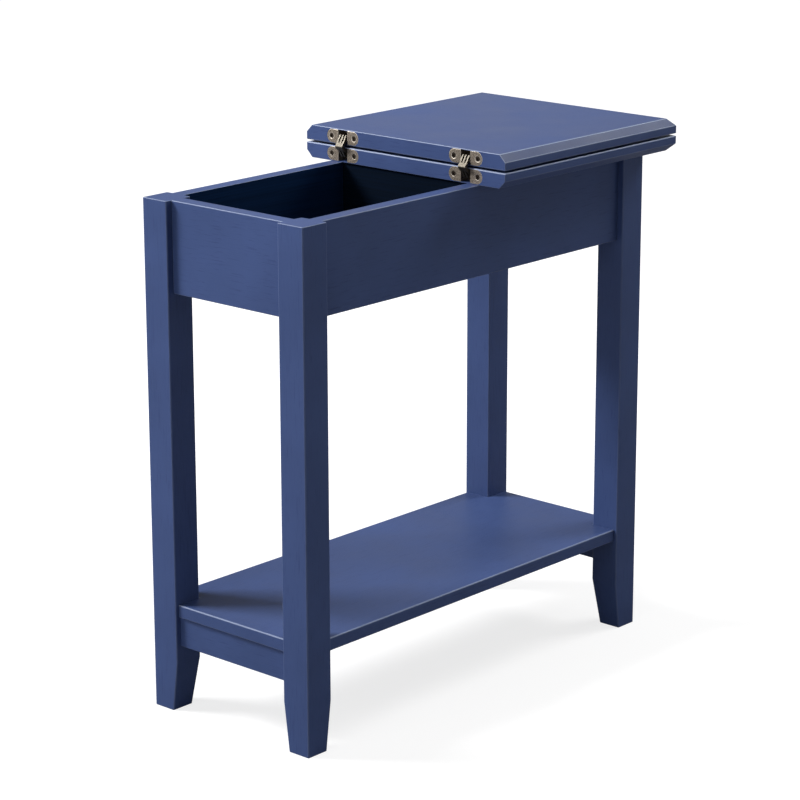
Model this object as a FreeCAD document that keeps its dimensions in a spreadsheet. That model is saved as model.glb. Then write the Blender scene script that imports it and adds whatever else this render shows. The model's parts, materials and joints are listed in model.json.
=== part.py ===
"""Flip-top end table: a parametric FreeCAD document, one object per physical piece.

Axes: +X runs along the table from the open storage end to the fixed end, +Z is up.
Origin: on the floor, under the middle of the table as it stands with the flip leaf folded back.
All sizes are millimetres and are kept in the Sizes sheet.
"""
import FreeCAD
import Part

import math
import os
import re

import Sketcher

doc = FreeCAD.newDocument("flip_top_end_table")

# ---------------------------------------------------------------------------- driving dimensions
DRIVING = (
    ("leg_height", 592, "floor to the underside of the leaves"),
    ("leg_side", 37, "side of the square legs"),
    ("leg_edge_radius", 1.5, "eased long edges of the legs"),
    ("taper_height", 58, "height of the taper at the foot"),
    ("taper_inset", 7.5, "how far each inner face tapers in"),
    ("frame_length", 582, "over the outer faces of the legs, along X"),
    ("frame_width", 242, "over the outer faces of the legs, along Y"),
    ("apron_height", 104, "depth of the box formed by the aprons"),
    ("apron_thickness", 18, "apron boards"),
    ("apron_setback", 8, "aprons stand back from the outer faces of the legs"),
    ("apron_edge_radius", 1, "eased edges of the aprons' outer faces"),
    ("leaf_thickness", 18, "both leaves of the top"),
    ("far_overhang", 24, "fixed leaf past the legs of the fixed end"),
    ("side_overhang", 30, "leaves past the legs on each long side"),
    ("underside_chamfer", 8.5, "chamfer under the three free edges of a leaf"),
    ("show_edge_radius", 1.5, "eased edges of a leaf's show face"),
    ("fold_gap", 2.5, "between the show faces when the flip leaf is folded back"),
    ("open_gap", 1, "between the hinge faces when the top is closed flat"),
    ("divider_setback", 3, "divider behind the hinge line"),
    ("divider_thickness", 12, "wall between storage and fixed end"),
    ("housing_depth", 4, "groove in the long aprons that holds the divider"),
    ("floor_thickness", 6, "compartment floor panel"),
    ("panel_clearance", 0.4, "round the floor panel and in the housings"),
    ("cleat_side", 12, "square cleats under the compartment floor"),
    ("cleat_raise", 3, "floor cleats above the aprons' lower edge"),
    ("fixing_cleat_side", 18, "square cleats that carry the fixed leaf"),
    ("block_width", 26, "glue block along each apron"),
    ("block_height", 60, "glue block, up the corner"),
    ("shelf_top", 128, "floor to the top of the shelf"),
    ("shelf_thickness", 15, "shelf board"),
    ("shelf_setback", 4, "shelf edge behind the legs' outer faces"),
    ("shelf_edge_radius", 1.5, "eased edges of the shelf"),
    ("notch_clearance", 0.25, "shelf notches round the legs"),
    ("rail_height", 35, "end rails under the shelf"),
    ("rail_thickness", 15, "end rails"),
    ("rail_setback", 3, "end rail behind the shelf's edge"),
    ("tenon_length", 16, "tenons of the aprons and rails into the legs"),
    ("tenon_end_gap", 0.5, "glue space at the bottom of a mortise"),
    ("apron_tenon", 8, "thickness of an apron's tenons"),
    ("apron_shoulder", 12, "apron above and below its tenons"),
    ("rail_tenon", 6, "thickness of a rail's tenons"),
    ("rail_shoulder", 6, "rail above and below its tenons"),
    ("hinge_inset", 57.5, "hinge centres from the leaves' side edges"),
    ("cup_length", 49, "hinge cup along the leaf's edge"),
    ("cup_height", 16, "hinge cup across the leaf's thickness"),
    ("cup_depth", 18, "hinge cup into the leaf"),
    ("cup_slot_width", 14, "slot between the two lobes of a cup"),
    ("cup_slot_depth", 16, "depth of that slot"),
    ("mortise_clearance", 0.1, "leaf mortise round a cup"),
    ("pivot_depth", 1.75, "cup pivot behind the hinge face"),
    ("pivot_drop", 4.85, "cup pivot below the show face"),
    ("pin_radius", 1, "hinge pins and rivets"),
    ("pin_running", 0.05, "radial clearance of a link on its pin"),
    ("pin_seat", 3, "cup pin into each lobe"),
    ("pin_end_gap", 0.3, "end of the link rivet to the side of the slot"),
    ("link_thickness", 2, "hinge link plates"),
    ("link_side_gap", 0.15, "between neighbouring link plates"),
    ("link_reach", 4.85, "centre rivet outside the fold axis"),
    ("link_knee_out", 2.9, "bend of a link outside the fold axis"),
    ("link_knee_drop", 3.3, "bend of a link from the fold plane"),
    ("link_tail_depth", 2.4, "tail of a link inside the fold axis"),
    ("link_tail_drop", 11.75, "tail of a link from the fold plane"),
    ("link_eye_radius", 1.9, "link round its rivets"),
    ("link_waist", 1.4, "half width of a link's arms"),
    ("rivet_head", 0.4, "centre rivet past the outer plates"),
    ("screw_hole_offset", 17.5, "a cup's two screw holes either side of its middle"),
    ("screw_hole_radius", 2.2, "screw holes of the cups"),
    ("countersink_depth", 1.3, "their countersinks, cut at 45 degrees"),
)

sizes = doc.addObject("Spreadsheet::Sheet", "Sizes")
for row, (alias, number, meaning) in enumerate(DRIVING, start=1):
    sizes.set("A%d" % row, alias)
    sizes.set("B%d" % row, str(number))
    sizes.set("C%d" % row, meaning)
    sizes.setAlias("B%d" % row, alias)
doc.recompute()

# Places that many pieces share, as formulas in the names of the sheet.
STORAGE_X = "(-far_overhang / 2 - frame_length / 2)"
FIXED_X = "(-far_overhang / 2 + frame_length / 2)"
HINGE_X = "(-far_overhang / 2)"
FOLD_X = "(-far_overhang / 2 - open_gap / 2)"
HALF_WIDTH = "(frame_width / 2)"
HINGE_Y = "(frame_width / 2 + side_overhang - hinge_inset)"
INNER_HALF = "(frame_width / 2 - apron_setback - apron_thickness)"
APRON_Z = "(leg_height - apron_height)"
FOLD_Z = "(leg_height + leaf_thickness + fold_gap / 2)"
LEAF_LENGTH = "(frame_length / 2 + far_overhang)"
LEAF_WIDTH = "(frame_width + 2 * side_overhang)"
FLOOR_Z = "(leg_height - apron_height + cleat_raise + cleat_side)"
LEG_POKE = "(leg_side - apron_setback - apron_thickness)"
LOBE_OFFSET = "(cup_length / 2 - cup_height / 2)"


def size(alias):
    """Number kept in the sheet."""
    return float(sizes.get(alias))


def formula(text):
    """Turn the sheet's words in a formula into references to the sheet."""
    return re.sub(r"[a-z][a-z_]+", lambda word: "Sizes." + word.group(0), text)


def bind(thing, prop, text):
    """Bind one property to a formula of driving dimensions."""
    thing.setExpression(prop, formula(text))


def place(thing, corner):
    """Bind the position of a piece."""
    for axis, text in zip("xyz", corner):
        bind(thing, "Placement.Base." + axis, text)


def turn(thing, axis, degrees):
    """Turn a piece about one axis through its own origin."""
    thing.Placement.Rotation = FreeCAD.Rotation(FreeCAD.Vector(*axis), degrees)


# ---------------------------------------------------------------------------- sketches and features
PLANES = {"x": ("YZ_Plane", 1), "y": ("XZ_Plane", -1), "z": ("XY_Plane", 1)}


def sketch_on(body, normal, start):
    """Sketch square to one axis of its body, at a distance along that axis."""
    role, sense = PLANES[normal]
    plane = next(item for item in body.Origin.OriginFeatures if item.Role == role)
    sketch = body.newObject("Sketcher::SketchObject", body.Name + "_sketch")
    sketch.AttachmentSupport = [(plane, "")]
    sketch.MapMode = "FlatFace"
    bind(sketch, "AttachmentOffset.Base.z", start if sense > 0 else "-(%s)" % start)
    return sketch


def fix_point(sketch, geometry, point, x, y):
    """Hold one point of a sketch at a pair of formulas."""
    for kind, axis, text in (("DistanceX", -2, x), ("DistanceY", -1, y)):
        if text == "0":
            sketch.addConstraint(Sketcher.Constraint("PointOnObject", geometry, point, axis))
            continue
        index = sketch.addConstraint(Sketcher.Constraint(kind, -1, 1, geometry, point, 1.0))
        bind(sketch, "Constraints[%d]" % index, text)


def polygon(sketch, points):
    """Closed outline of straight lines through the given points."""
    first = sketch.GeometryCount
    count = len(points)
    for step in range(count):
        here = 2 * math.pi * step / count
        there = 2 * math.pi * (step + 1) / count
        start = FreeCAD.Vector(50 * math.cos(here), 50 * math.sin(here), 0)
        end = FreeCAD.Vector(50 * math.cos(there), 50 * math.sin(there), 0)
        sketch.addGeometry(Part.LineSegment(start, end))
    for step in range(count):
        after = first + (step + 1) % count
        sketch.addConstraint(Sketcher.Constraint("Coincident", first + step, 2, after, 1))
    for step, (x, y) in enumerate(points):
        fix_point(sketch, first + step, 1, x, y)


def rectangle(sketch, low, high):
    """Rectangle between two corners."""
    polygon(sketch, [low, (high[0], low[1]), high, (low[0], high[1])])


def circles(sketch, centres, radius):
    """Circles of one radius."""
    for x, y in centres:
        index = sketch.addGeometry(Part.Circle(FreeCAD.Vector(1, 1, 0), FreeCAD.Vector(0, 0, 1), 1))
        fix_point(sketch, index, 3, x, y)
        held = sketch.addConstraint(Sketcher.Constraint("Radius", index, 1.0))
        bind(sketch, "Constraints[%d]" % held, radius)


def new_body(name):
    """Empty body whose label names its file."""
    body = doc.addObject("PartDesign::Body", name)
    body.Label = name
    return body


def pad(body, sketch, length, normal="z"):
    """Add material along the sketch's axis, towards its positive end."""
    feature = body.newObject("PartDesign::Pad", body.Name + "_pad")
    feature.Profile = sketch
    feature.Reversed = PLANES[normal][1] < 0
    bind(feature, "Length", length)
    return feature


def pocket(body, sketch, depth, normal, sense):
    """Cut from the sketch along its axis, towards + or -, and make sure that it cuts."""
    doc.recompute()
    before = body.Shape.Volume
    feature = body.newObject("PartDesign::Pocket", body.Name + "_pocket")
    feature.Profile = sketch
    feature.Reversed = (sense * PLANES[normal][1]) > 0
    bind(feature, "Length", depth)
    doc.recompute()
    if body.Shape.Volume >= before:
        raise ValueError("a pocket of %s cuts nothing" % body.Name)
    return feature


def drill(body, normal, start, centres, radius, depth, sense):
    """Round holes along one axis."""
    sketch = sketch_on(body, normal, start)
    circles(sketch, centres, radius)
    return pocket(body, sketch, depth, normal, sense)


def dress(body, kind, chosen, amount):
    """Fillet or chamfer the edges that a test picks out."""
    doc.recompute()
    base = body.Tip
    names = ["Edge%d" % (i + 1) for i, edge in enumerate(base.Shape.Edges) if chosen(edge)]
    feature = body.newObject("PartDesign::" + kind, body.Name + "_" + kind.lower())
    feature.Base = (base, names)
    bind(feature, "Radius" if kind == "Fillet" else "Size", amount)
    doc.recompute()
    return feature


def board(name, corner, extent):
    """Plain rectangular board from its lowest corner."""
    body = new_body(name)
    sketch = sketch_on(body, "z", "0")
    rectangle(sketch, ("0", "0"), (extent[0], extent[1]))
    pad(body, sketch, extent[2])
    place(body, corner)
    return body


def middle(edge):
    """Middle of an edge's box."""
    return edge.BoundBox.Center


def near(first, second):
    """True for two lengths that agree."""
    return abs(first - second) < 1e-4


nodes = []

# ---------------------------------------------------------------------------- legs
# Each leg is drawn from its outer corner, with its two inner faces towards +x and +y. Turning it by
# quarter turns keeps the outer corner outside, so the rail's mortise changes face from leg to leg.
LEGS = (
    ("leg_storage_right", STORAGE_X, "-" + HALF_WIDTH, 0),
    ("leg_fixed_right", FIXED_X, "-" + HALF_WIDTH, 90),
    ("leg_fixed_left", FIXED_X, HALF_WIDTH, 180),
    ("leg_storage_left", STORAGE_X, HALF_WIDTH, 270),
)
APRON_LINE = "(apron_setback + apron_thickness / 2)"
RAIL_LINE = "(shelf_setback + rail_setback + rail_thickness / 2)"
RAIL_Z = "(shelf_top - shelf_thickness - rail_height)"


def mortise(body, normal, line, thickness, low, high):
    """Slot in a leg's inner face for a tenon of one thickness, between two heights."""
    slot = sketch_on(body, normal, "leg_side")
    rectangle(slot, ("(%s - %s / 2)" % (line, thickness), low), ("(%s + %s / 2)" % (line, thickness), high))
    pocket(body, slot, "tenon_length + tenon_end_gap", normal, -1)


def leg(name, x, y, degrees):
    """Square leg whose two inner faces taper at the foot."""
    body = new_body(name)
    square = sketch_on(body, "z", "0")
    rectangle(square, ("0", "0"), ("leg_side", "leg_side"))
    pad(body, square, "leg_height")
    for normal in "yx":
        wedge = sketch_on(body, normal, "0")
        polygon(wedge, [("leg_side - taper_inset", "0"), ("leg_side", "0"), ("leg_side", "taper_height")])
        pocket(body, wedge, "leg_side", normal, 1)
    dress(body, "Fillet", lambda edge: abs(edge.BoundBox.ZLength) > 1, "leg_edge_radius")
    for normal in "xy":
        mortise(body, normal, APRON_LINE, "apron_tenon",
                "(%s + apron_shoulder)" % APRON_Z, "(leg_height - apron_shoulder)")
    across = "y" if degrees in (0, 180) else "x"
    mortise(body, across, RAIL_LINE, "rail_tenon",
            "(%s + rail_shoulder)" % RAIL_Z, "(%s + rail_height - rail_shoulder)" % RAIL_Z)
    place(body, (x, y, "0"))
    turn(body, (0, 0, 1), degrees)
    return body


for name, x, y, degrees in LEGS:
    nodes.append(leg(name, x, y, degrees))

# ---------------------------------------------------------------------------- aprons
SIDE_LENGTH = "(frame_length - 2 * leg_side)"
END_LENGTH = "(frame_width - 2 * leg_side)"
LEG_INNER_X = "(leg_side - far_overhang / 2 - frame_length / 2)"


def tenons(body, normal, length, middle_line, thickness, low, high):
    """Tenon out of both ends of a rail of one length."""
    ends = sketch_on(body, normal, "-tenon_length")
    rectangle(ends, ("(%s - %s / 2)" % (middle_line, thickness), low),
              ("(%s + %s / 2)" % (middle_line, thickness), high))
    pad(body, ends, "(%s + 2 * tenon_length)" % length, normal)


def ease_face(body, axis, outer_end, amount):
    """Ease the four edges round the face at the low or high end of an axis."""
    doc.recompute()
    box = body.Tip.Shape.BoundBox
    lows = (box.XMin, box.YMin, box.ZMin)
    highs = (box.XMax, box.YMax, box.ZMax)
    level = lows[axis] if outer_end < 0 else highs[axis]

    def chosen(edge):
        span = (edge.BoundBox.XLength, edge.BoundBox.YLength, edge.BoundBox.ZLength)
        return span[axis] < 1e-6 and near(middle(edge)[axis], level)

    dress(body, "Fillet", chosen, amount)


def side_apron(name, y, outer_end):
    """Long apron; the housing for the divider is cut from top to bottom of its inner face."""
    body = board(name, (LEG_INNER_X, y, APRON_Z), (SIDE_LENGTH, "apron_thickness", "apron_height"))
    ease_face(body, 1, outer_end, "apron_edge_radius")
    tenons(body, "x", SIDE_LENGTH, "apron_thickness / 2", "apron_tenon",
           "apron_shoulder", "(apron_height - apron_shoulder)")
    inner = "0" if outer_end > 0 else "(apron_thickness - housing_depth)"
    housing = sketch_on(body, "y", inner)
    left = "(frame_length / 2 - leg_side + divider_setback - panel_clearance)"
    right = "(frame_length / 2 - leg_side + divider_setback + divider_thickness)"
    rectangle(housing, (left, "0"), (right, "apron_height"))
    pocket(body, housing, "housing_depth", "y", 1)
    return body


def end_apron(name, x, outer_end):
    """Short apron between the two legs of one end."""
    low = "(leg_side - frame_width / 2)"
    body = board(name, (x, low, APRON_Z), ("apron_thickness", END_LENGTH, "apron_height"))
    ease_face(body, 0, outer_end, "apron_edge_radius")
    tenons(body, "y", END_LENGTH, "apron_thickness / 2", "apron_tenon",
           "apron_shoulder", "(apron_height - apron_shoulder)")
    return body


nodes.append(side_apron("apron_right", "(apron_setback - frame_width / 2)", -1))
nodes.append(side_apron("apron_left", INNER_HALF, 1))
nodes.append(end_apron("apron_storage_end", "(%s + apron_setback)" % STORAGE_X, -1))
nodes.append(end_apron("apron_fixed_end", "(%s - apron_setback - apron_thickness)" % FIXED_X, 1))

# ---------------------------------------------------------------------------- storage compartment
DIVIDER_X = "(-far_overhang / 2 + divider_setback)"
DIVIDER_FAR_X = "(-far_overhang / 2 + divider_setback + divider_thickness)"
DIVIDER_HALF = "(%s + housing_depth - panel_clearance)" % INNER_HALF
nodes.append(board(
    "compartment_divider",
    (DIVIDER_X, "-" + DIVIDER_HALF, APRON_Z),
    ("divider_thickness - panel_clearance", "2 * " + DIVIDER_HALF, "apron_height"),
))

# The floor panel is notched round the inner corners of the two storage legs.
floor = new_body("compartment_floor")
outline = sketch_on(floor, "z", "0")
INNER_END_X = "(apron_setback + apron_thickness - far_overhang / 2 - frame_length / 2)"
FLOOR_LENGTH = "(frame_length / 2 + divider_setback - apron_setback - apron_thickness - 2 * panel_clearance)"
FLOOR_WIDTH = "(2 * %s - 2 * panel_clearance)" % INNER_HALF
polygon(outline, [
    (LEG_POKE, "0"),
    (FLOOR_LENGTH, "0"),
    (FLOOR_LENGTH, FLOOR_WIDTH),
    (LEG_POKE, FLOOR_WIDTH),
    (LEG_POKE, "(%s - %s)" % (FLOOR_WIDTH, LEG_POKE)),
    ("0", "(%s - %s)" % (FLOOR_WIDTH, LEG_POKE)),
    ("0", LEG_POKE),
    (LEG_POKE, LEG_POKE),
])
pad(floor, outline, "floor_thickness")
place(floor, ("(%s + panel_clearance)" % INNER_END_X, "(panel_clearance - %s)" % INNER_HALF, FLOOR_Z))
nodes.append(floor)

CLEAT_Z = "(leg_height - apron_height + cleat_raise)"
SIDE_CLEAT = "(frame_length / 2 - leg_side + divider_setback)"
for side, y in (("right", "-" + INNER_HALF), ("left", "(%s - cleat_side)" % INNER_HALF)):
    nodes.append(board(
        "floor_cleat_" + side, (LEG_INNER_X, y, CLEAT_Z), (SIDE_CLEAT, "cleat_side", "cleat_side")))
nodes.append(board(
    "floor_cleat_end",
    (INNER_END_X, "(leg_side - frame_width / 2)", CLEAT_Z),
    (LEG_POKE, END_LENGTH, "cleat_side"),
))
nodes.append(board(
    "floor_cleat_divider",
    ("(%s - cleat_side)" % DIVIDER_X, "(cleat_side - %s)" % INNER_HALF, CLEAT_Z),
    ("cleat_side", "2 * (%s - cleat_side)" % INNER_HALF, "cleat_side"),
))

# ---------------------------------------------------------------------------- fixings of the fixed leaf
BLOCK_REACH = "(2 * %s)" % LEG_POKE
FIXING_CLEAT = ("(frame_length / 2 - divider_setback - divider_thickness - apron_setback"
                " - apron_thickness - block_width - %s)" % BLOCK_REACH)
for side, y in (("right", "-" + INNER_HALF), ("left", "(%s - fixing_cleat_side)" % INNER_HALF)):
    nodes.append(board(
        "fixing_cleat_" + side,
        (DIVIDER_FAR_X, y, "(leg_height - fixing_cleat_side)"),
        (FIXING_CLEAT, "fixing_cleat_side", "fixing_cleat_side"),
    ))

# A mitred glue block bears on both aprons and on the inner corner of each fixed-end leg.
for side, y, degrees in (("right", "-" + INNER_HALF, 90), ("left", INNER_HALF, 180)):
    block = new_body("corner_block_" + side)
    outline = sketch_on(block, "z", "0")
    polygon(outline, [
        (BLOCK_REACH, "0"),
        ("(%s + block_width)" % BLOCK_REACH, "0"),
        ("0", "(%s + block_width)" % BLOCK_REACH),
        ("0", BLOCK_REACH),
    ])
    pad(block, outline, "block_height")
    place(block, ("(%s - apron_setback - apron_thickness)" % FIXED_X, y, "(leg_height - block_height)"))
    turn(block, (0, 0, 1), degrees)
    nodes.append(block)

# ---------------------------------------------------------------------------- shelf and its rails
SHELF_LENGTH = "(frame_length - 2 * shelf_setback)"
SHELF_WIDTH = "(frame_width - 2 * shelf_setback)"
NOTCH = "(leg_side - shelf_setback + notch_clearance)"
FAR_NOTCH_X = "(%s - %s)" % (SHELF_LENGTH, NOTCH)
FAR_NOTCH_Y = "(%s - %s)" % (SHELF_WIDTH, NOTCH)
RAIL_X = "(shelf_setback + rail_setback)"
shelf = new_body("shelf")
outline = sketch_on(shelf, "z", "0")
polygon(outline, [
    (NOTCH, "0"), (FAR_NOTCH_X, "0"), (FAR_NOTCH_X, NOTCH), (SHELF_LENGTH, NOTCH),
    (SHELF_LENGTH, FAR_NOTCH_Y), (FAR_NOTCH_X, FAR_NOTCH_Y), (FAR_NOTCH_X, SHELF_WIDTH),
    (NOTCH, SHELF_WIDTH), (NOTCH, FAR_NOTCH_Y), ("0", FAR_NOTCH_Y), ("0", NOTCH), (NOTCH, NOTCH),
])
pad(shelf, outline, "shelf_thickness")


def on_shelf_rim(edge):
    """Top and bottom edges along the four open sides."""
    spot = middle(edge)
    level = edge.BoundBox.ZLength < 1e-6
    length, width = size("frame_length"), size("frame_width")
    inset = 2 * size("shelf_setback")
    return level and (near(spot.x, 0) or near(spot.x, length - inset)
                      or near(spot.y, 0) or near(spot.y, width - inset))


dress(shelf, "Fillet", on_shelf_rim, "shelf_edge_radius")
place(shelf, ("(%s + shelf_setback)" % STORAGE_X, "(shelf_setback - frame_width / 2)",
              "(shelf_top - shelf_thickness)"))
nodes.append(shelf)

RAILS = (
    ("shelf_rail_storage_end", "(%s + %s)" % (STORAGE_X, RAIL_X)),
    ("shelf_rail_fixed_end", "(%s - %s - rail_thickness)" % (FIXED_X, RAIL_X)),
)
for name, x in RAILS:
    rail = board(name, (x, "(leg_side - frame_width / 2)", RAIL_Z),
                 ("rail_thickness", END_LENGTH, "rail_height"))
    tenons(rail, "y", END_LENGTH, "rail_thickness / 2", "rail_tenon",
           "rail_shoulder", "(rail_height - rail_shoulder)")
    nodes.append(rail)

# ---------------------------------------------------------------------------- leaves of the top
# A leaf is drawn with its hinge face at x = 0, y along the hinge and its show face on top.


def leaf(name):
    body = new_body(name)
    outline = sketch_on(body, "z", "0")
    half = "%s / 2" % LEAF_WIDTH
    rectangle(outline, ("0", "-" + half), (LEAF_LENGTH, half))
    pad(body, outline, "leaf_thickness")
    length = size("frame_length") / 2 + size("far_overhang")
    half_width = size("frame_width") / 2 + size("side_overhang")
    thickness = size("leaf_thickness")

    def free_underside(edge):
        spot = middle(edge)
        return near(spot.z, 0) and (near(spot.x, length) or near(abs(spot.y), half_width))

    dress(body, "Chamfer", free_underside, "underside_chamfer")
    dress(body, "Fillet",
          lambda edge: near(middle(edge).z, thickness) and edge.BoundBox.ZLength < 1e-6,
          "show_edge_radius")
    # Mortises: each is bored at both ends and routed out between the bores.
    mid = "(leaf_thickness / 2)"
    depth = "cup_depth + mortise_clearance"
    lobe_radius = "cup_height / 2 + mortise_clearance"
    hinges = ("-" + HINGE_Y, HINGE_Y)
    bores = [("(%s %s %s)" % (y, sign, LOBE_OFFSET), mid) for y in hinges for sign in "+-"]
    drill(body, "x", "0", bores, lobe_radius, depth, 1)
    for y in hinges:
        slot = sketch_on(body, "x", "0")
        low = "(leaf_thickness / 2 - cup_height / 2 - mortise_clearance)"
        high = "(leaf_thickness / 2 + cup_height / 2 + mortise_clearance)"
        rectangle(slot, ("(%s - %s)" % (y, LOBE_OFFSET), low), ("(%s + %s)" % (y, LOBE_OFFSET), high))
        pocket(body, slot, depth, "x", 1)
    return body


fixed_leaf = leaf("fixed_leaf")
place(fixed_leaf, (HINGE_X, "0", "leg_height"))
flip_leaf = leaf("flip_leaf")
place(flip_leaf, (HINGE_X, "0", "(leg_height + 2 * leaf_thickness + fold_gap)"))
turn(flip_leaf, (1, 0, 0), 180)
nodes += [fixed_leaf, flip_leaf]

# ---------------------------------------------------------------------------- hinge cups
# A cup is drawn with its face at x = 0, centred on the leaf's edge, with the show face above it.
# Two round-ended lobes carry the screws and are joined behind the slot that the links work in.


def hinge_cup(name, y, z, degrees, pinned):
    """Cup for one leaf; only a pinned cup is bored across its slot for the pin of the lower links."""
    body = new_body(name)
    bar = sketch_on(body, "x", "0")
    rectangle(bar, ("-" + LOBE_OFFSET, "-cup_height / 2"), (LOBE_OFFSET, "cup_height / 2"))
    pad(body, bar, "cup_depth")
    for sign in ("-", ""):
        lobe = sketch_on(body, "x", "0")
        circles(lobe, [(sign + LOBE_OFFSET, "0")], "cup_height / 2")
        pad(body, lobe, "cup_depth")
    slot = sketch_on(body, "x", "0")
    rectangle(slot, ("-cup_slot_width / 2", "-cup_height / 2"), ("cup_slot_width / 2", "cup_height / 2"))
    pocket(body, slot, "cup_slot_depth", "x", 1)
    drill(body, "x", "0", [("-screw_hole_offset", "0"), ("screw_hole_offset", "0")],
          "screw_hole_radius", "cup_depth", 1)
    radius = size("screw_hole_radius")

    def screw_rim(edge):
        circle = edge.Curve.TypeId == "Part::GeomCircle" and near(edge.Curve.Radius, radius)
        return circle and near(middle(edge).x, 0)

    dress(body, "Chamfer", screw_rim, "countersink_depth")
    if pinned:
        seat = "(cup_slot_width / 2 + pin_seat)"
        pin_z = "(leaf_thickness / 2 - pivot_drop)"
        drill(body, "y", "-" + seat, [("pivot_depth", pin_z)], "pin_radius + pin_running", "2 * " + seat, 1)
    place(body, (HINGE_X, y, z))
    turn(body, (1, 0, 0), degrees)
    return body


FIXED_MID_Z = "(leg_height + leaf_thickness / 2)"
FLIP_MID_Z = "(leg_height + 3 * leaf_thickness / 2 + fold_gap)"
HINGES = (("right", "-" + HINGE_Y), ("left", HINGE_Y))
for side, y in HINGES:
    nodes.append(hinge_cup("hinge_cup_fixed_" + side, y, FIXED_MID_Z, 0, True))
for side, y in HINGES:
    nodes.append(hinge_cup("hinge_cup_flip_" + side, y, FLIP_MID_Z, 180, False))

# ---------------------------------------------------------------------------- hinge links
# Plates are drawn in the x-z plane with the fold axis at the origin. The lower set turns on a pin in
# the fixed cup; the upper set turns on the lower set's centre rivet and reaches into the flip cup.
axis_inset = size("open_gap") / 2
pivot_x = size("pivot_depth") + axis_inset
pivot_z = -(size("pivot_drop") + size("fold_gap") / 2)
CENTRE_RIVET = (-size("link_reach"), 0.0)
LOWER_PIVOT = (pivot_x, pivot_z)
UPPER_PIVOT = (pivot_x, -pivot_z)
KNEE_X, KNEE_Z = -size("link_knee_out"), size("link_knee_drop")
TAIL_X, TAIL_Z = size("link_tail_depth"), size("link_tail_drop")
eye, waist = size("link_eye_radius"), size("link_waist")
pin, running = size("pin_radius"), size("pin_running")
thick = size("link_thickness")
pitch = thick + size("link_side_gap")


def tapered_arm(start, end, start_radius, end_radius):
    """Flat face bounded by two circles and their outer tangents."""
    (x0, z0), (x1, z1) = start, end
    reach = math.hypot(x1 - x0, z1 - z0)
    along = math.atan2(z1 - z0, x1 - x0)
    spread = math.acos((start_radius - end_radius) / reach)

    def rim(x, z, radius, angle):
        return FreeCAD.Vector(x + radius * math.cos(angle), 0, z + radius * math.sin(angle))

    a = rim(x0, z0, start_radius, along + spread)
    b = rim(x1, z1, end_radius, along + spread)
    b_tip = rim(x1, z1, end_radius, along)
    c = rim(x1, z1, end_radius, along - spread)
    d = rim(x0, z0, start_radius, along - spread)
    d_tip = rim(x0, z0, start_radius, along + math.pi)
    edges = [Part.makeLine(a, b), Part.Arc(b, b_tip, c).toShape(), Part.makeLine(c, d),
             Part.Arc(d, d_tip, a).toShape()]
    return Part.Face(Part.Wire(edges))


def rivet(spot, radius, low, high):
    """Cylinder along Y between two stations."""
    start = FreeCAD.Vector(spot[0], low, spot[1])
    return Part.makeCylinder(radius, high - low, start, FreeCAD.Vector(0, 1, 0))


def link_plates(pivot, knee, far_knee, tail, stations):
    """Boomerang plates from a pivot, round the centre rivet, to a free tail."""
    stops = [(pivot, eye), (knee, waist), (CENTRE_RIVET, eye), (far_knee, waist), (tail, waist)]
    plate = None
    for (spot, radius), (after, next_radius) in zip(stops, stops[1:]):
        arm = tapered_arm(spot, after, radius, next_radius).extrude(FreeCAD.Vector(0, thick, 0))
        plate = arm if plate is None else plate.fuse(arm)
    plate = plate.removeSplitter()
    return [plate.translated(FreeCAD.Vector(0, station - thick / 2, 0)) for station in stations]


def settle(name, shape, y):
    """Store a shape drawn round the fold axis and bind its place to one hinge."""
    thing = doc.addObject("Part::Feature", name)
    thing.Label = name
    thing.Shape = shape
    place(thing, (FOLD_X, y, FOLD_Z))
    return thing


lower_stations = (-2 * pitch, 0.0, 2 * pitch)
upper_stations = (-pitch, pitch)
pack_half = 2 * pitch + thick / 2
rivet_half = size("cup_slot_width") / 2 - size("pin_end_gap")
lower_bore = rivet(LOWER_PIVOT, pin + running, -rivet_half, rivet_half)
lower = link_plates(LOWER_PIVOT, (KNEE_X, -KNEE_Z), (KNEE_X, KNEE_Z), (TAIL_X, TAIL_Z), lower_stations)
centre_rivet = rivet(CENTRE_RIVET, pin, -pack_half - size("rivet_head"), pack_half + size("rivet_head"))
lower_set = centre_rivet.fuse(lower).cut(lower_bore).removeSplitter()
upper = link_plates(UPPER_PIVOT, (KNEE_X, KNEE_Z), (KNEE_X, -KNEE_Z), (TAIL_X, -TAIL_Z), upper_stations)
centre_bore = rivet(CENTRE_RIVET, pin + running, -pack_half, pack_half)
upper = [plate.cut(centre_bore) for plate in upper]
upper_set = rivet(UPPER_PIVOT, pin, -rivet_half, rivet_half).fuse(upper).removeSplitter()
seat_half = size("cup_slot_width") / 2 + size("pin_seat")
cup_pin = rivet(LOWER_PIVOT, pin, -seat_half, seat_half)
for side, y in HINGES:
    nodes.append(settle("hinge_links_lower_" + side, lower_set, y))
    nodes.append(settle("hinge_links_upper_" + side, upper_set, y))
    nodes.append(settle("hinge_pin_" + side, cup_pin, y))

# ---------------------------------------------------------------------------- check and export
doc.recompute()
for thing in doc.Objects:
    if "Invalid" in thing.State or "Error" in thing.State:
        raise ValueError("%s did not build: %s" % (thing.Name, thing.State))
for node in nodes:
    if node.Shape.isNull() or not node.Shape.isValid():
        raise ValueError("%s has no valid shape" % node.Label)
os.makedirs("parts", exist_ok=True)
for node in nodes:
    node.Shape.exportStep("parts/%s.step" % node.Label)
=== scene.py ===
"""Flip-top end table: the painted wood, the hinge metal, the light and the camera round the CAD frame.

Metres. +X runs from the open storage end to the fixed end, +Z is up, the origin is on the floor.
"""

import json
import math

import bmesh
import bpy
from mathutils import Matrix, Vector
from mathutils.bvhtree import BVHTree

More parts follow.
